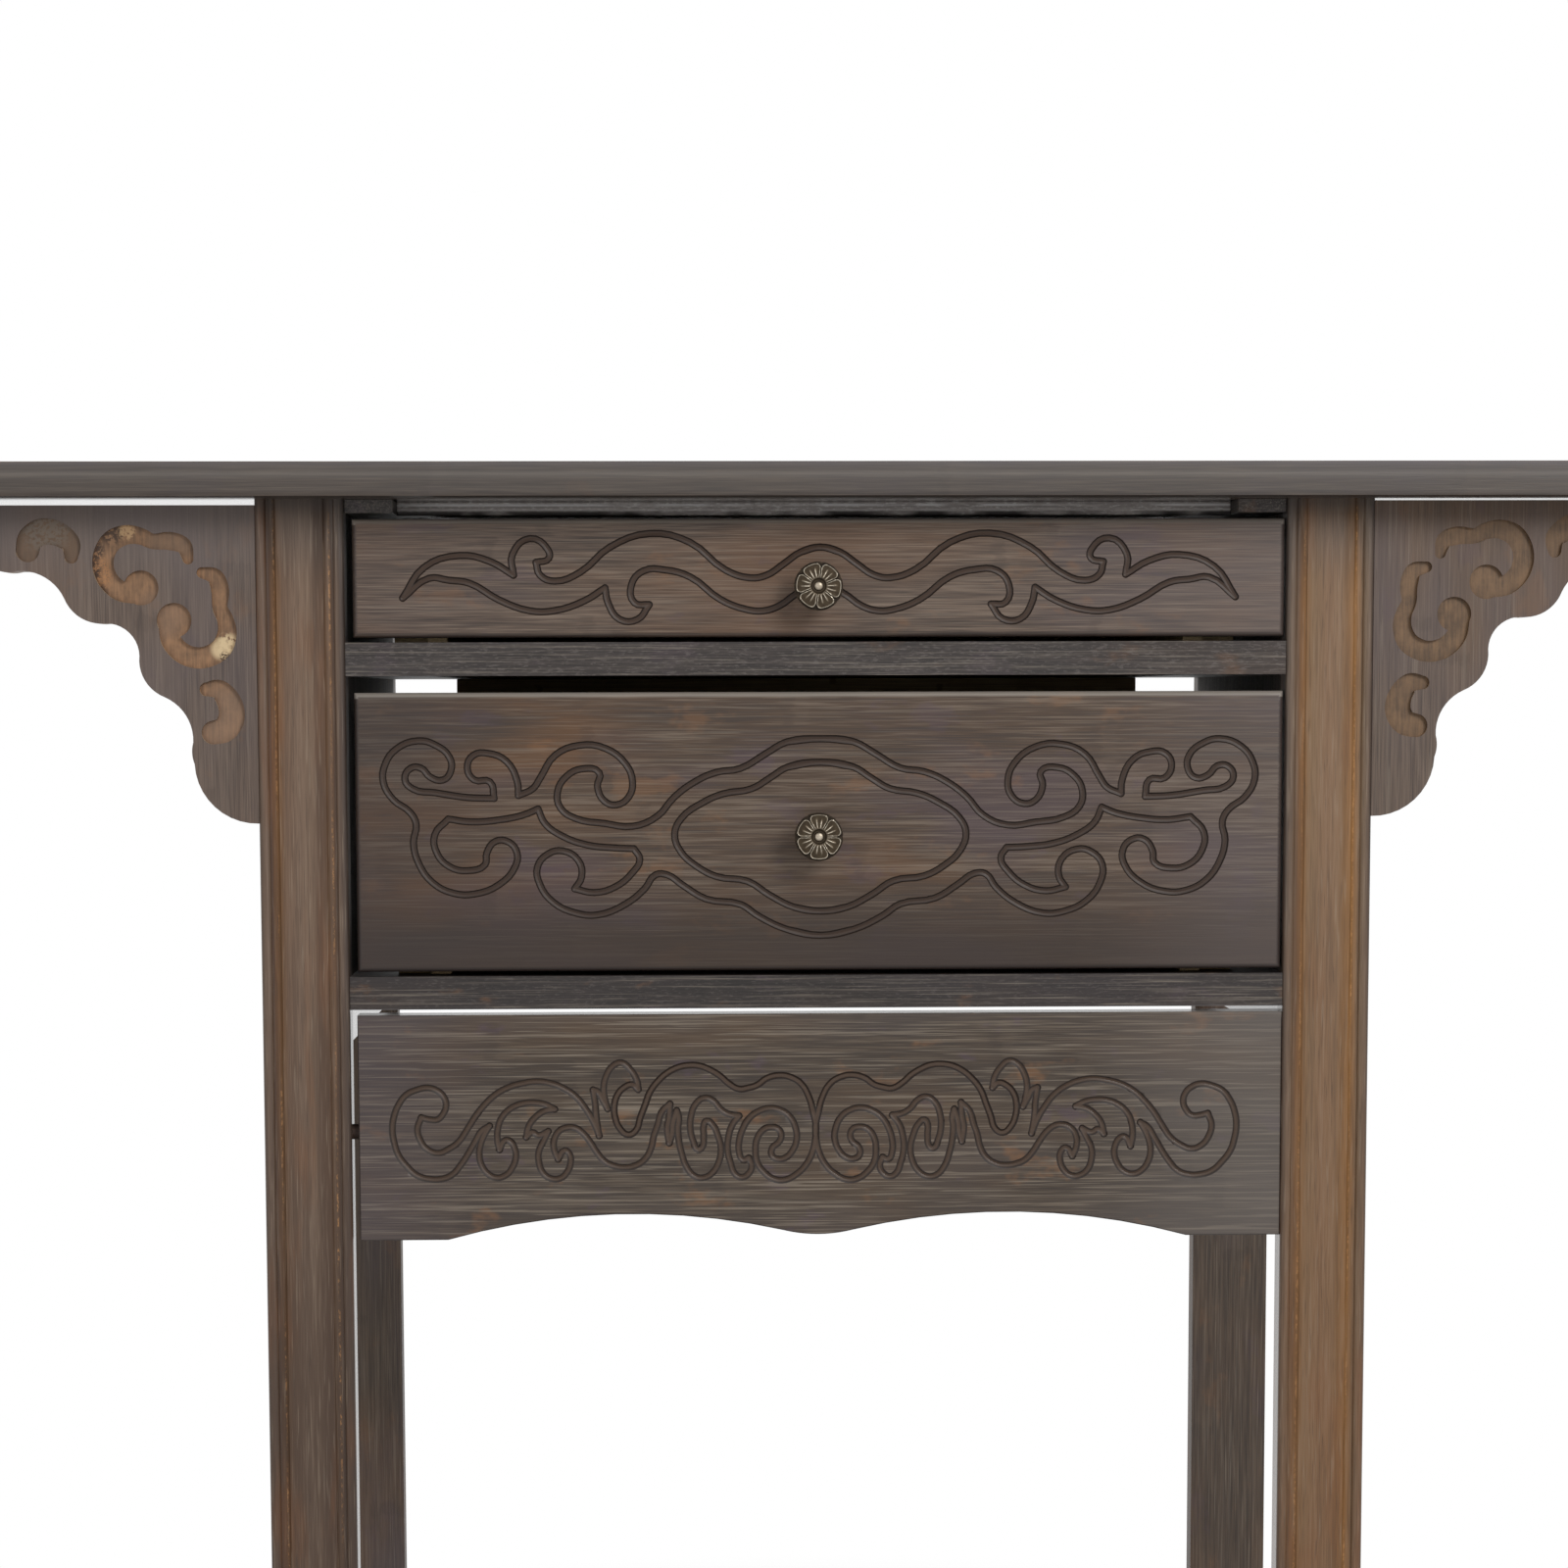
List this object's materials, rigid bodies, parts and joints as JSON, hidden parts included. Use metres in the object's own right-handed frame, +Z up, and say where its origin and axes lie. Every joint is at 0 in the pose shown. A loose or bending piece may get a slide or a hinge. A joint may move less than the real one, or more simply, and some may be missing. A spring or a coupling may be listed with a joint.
{
  "type": "altar table",
  "caption": "Narrow bamboo altar table with a long overhanging top, moulded front legs, stepped corner spandrels, a scalloped apron and two stacked sliding drawers with flower knobs.",
  "frame": {"origin": "on the floor under the middle of the top", "axes": "+X to the right along the length of the top, -Y out of the front with the drawers, +Z up"},
  "size_m": [1, 0.4, 0.81],
  "materials": {
    "top_board": "grey-brown stained bamboo under satin lacquer",
    "leg_board": "brown stained bamboo under satin lacquer, rubbed through beside the moulding",
    "spandrel_board": "stained bamboo under satin lacquer, with scrolls routed down to bare bamboo",
    "case_board": "dark stained bamboo with rough streaky edges",
    "front_board": "stained bamboo with level grain and carved outline scrolls",
    "bare_bamboo": "natural planed bamboo",
    "dowel_wood": "natural turned wood",
    "screw_steel": "zinc plated",
    "glide_plastic": "matte",
    "old_brass": "antique brass, dark in the hollows"
  },
  "bodies": {
    "table": {"tabletop": "top_board", "front_leg_left": "leg_board", "front_leg_right": "leg_board", "rear_leg_left": "leg_board", "rear_leg_right": "leg_board", "spandrel_left": "spandrel_board", "spandrel_right": "spandrel_board", "side_panel_left": "case_board", "side_panel_right": "case_board", "side_cleat_left": "case_board", "side_cleat_right": "case_board", "front_cross_cleat": "case_board", "rear_cross_cleat": "case_board", "mid_board": "case_board", "lower_board": "case_board", "apron": "front_board", "upper_guide_left": "bare_bamboo", "upper_guide_right": "bare_bamboo", "lower_guide_left": "bare_bamboo", "lower_guide_right": "bare_bamboo", "upper_stop": "bare_bamboo", "lower_stop": "bare_bamboo", "leg_top_dowels": "dowel_wood", "side_panel_dowels": "dowel_wood", "board_dowels": "dowel_wood", "apron_dowels": "dowel_wood", "spandrel_dowels": "dowel_wood", "cleat_screws": "screw_steel", "guide_screws": "screw_steel", "stop_screws": "screw_steel", "foot_glides": "glide_plastic"},
    "upper_drawer": {"upper_drawer_front": "front_board", "upper_drawer_side_left": "bare_bamboo", "upper_drawer_side_right": "bare_bamboo", "upper_drawer_back": "bare_bamboo", "upper_drawer_bottom": "bare_bamboo", "upper_drawer_dowels": "dowel_wood", "upper_knob": "old_brass", "upper_knob_screw": "screw_steel"},
    "lower_drawer": {"lower_drawer_front": "front_board", "lower_drawer_side_left": "bare_bamboo", "lower_drawer_side_right": "bare_bamboo", "lower_drawer_back": "bare_bamboo", "lower_drawer_bottom": "bare_bamboo", "lower_drawer_dowels": "dowel_wood", "lower_knob": "old_brass", "lower_knob_screw": "screw_steel"}
  },
  "joints": [
    {"name": "upper_drawer_slide", "type": "slide", "parent": "table", "child": "upper_drawer", "axis": [0, -1, 0], "range_m": [0, 0.22]},
    {"name": "lower_drawer_slide", "type": "slide", "parent": "table", "child": "lower_drawer", "axis": [0, -1, 0], "range_m": [0, 0.22]}
  ]
}
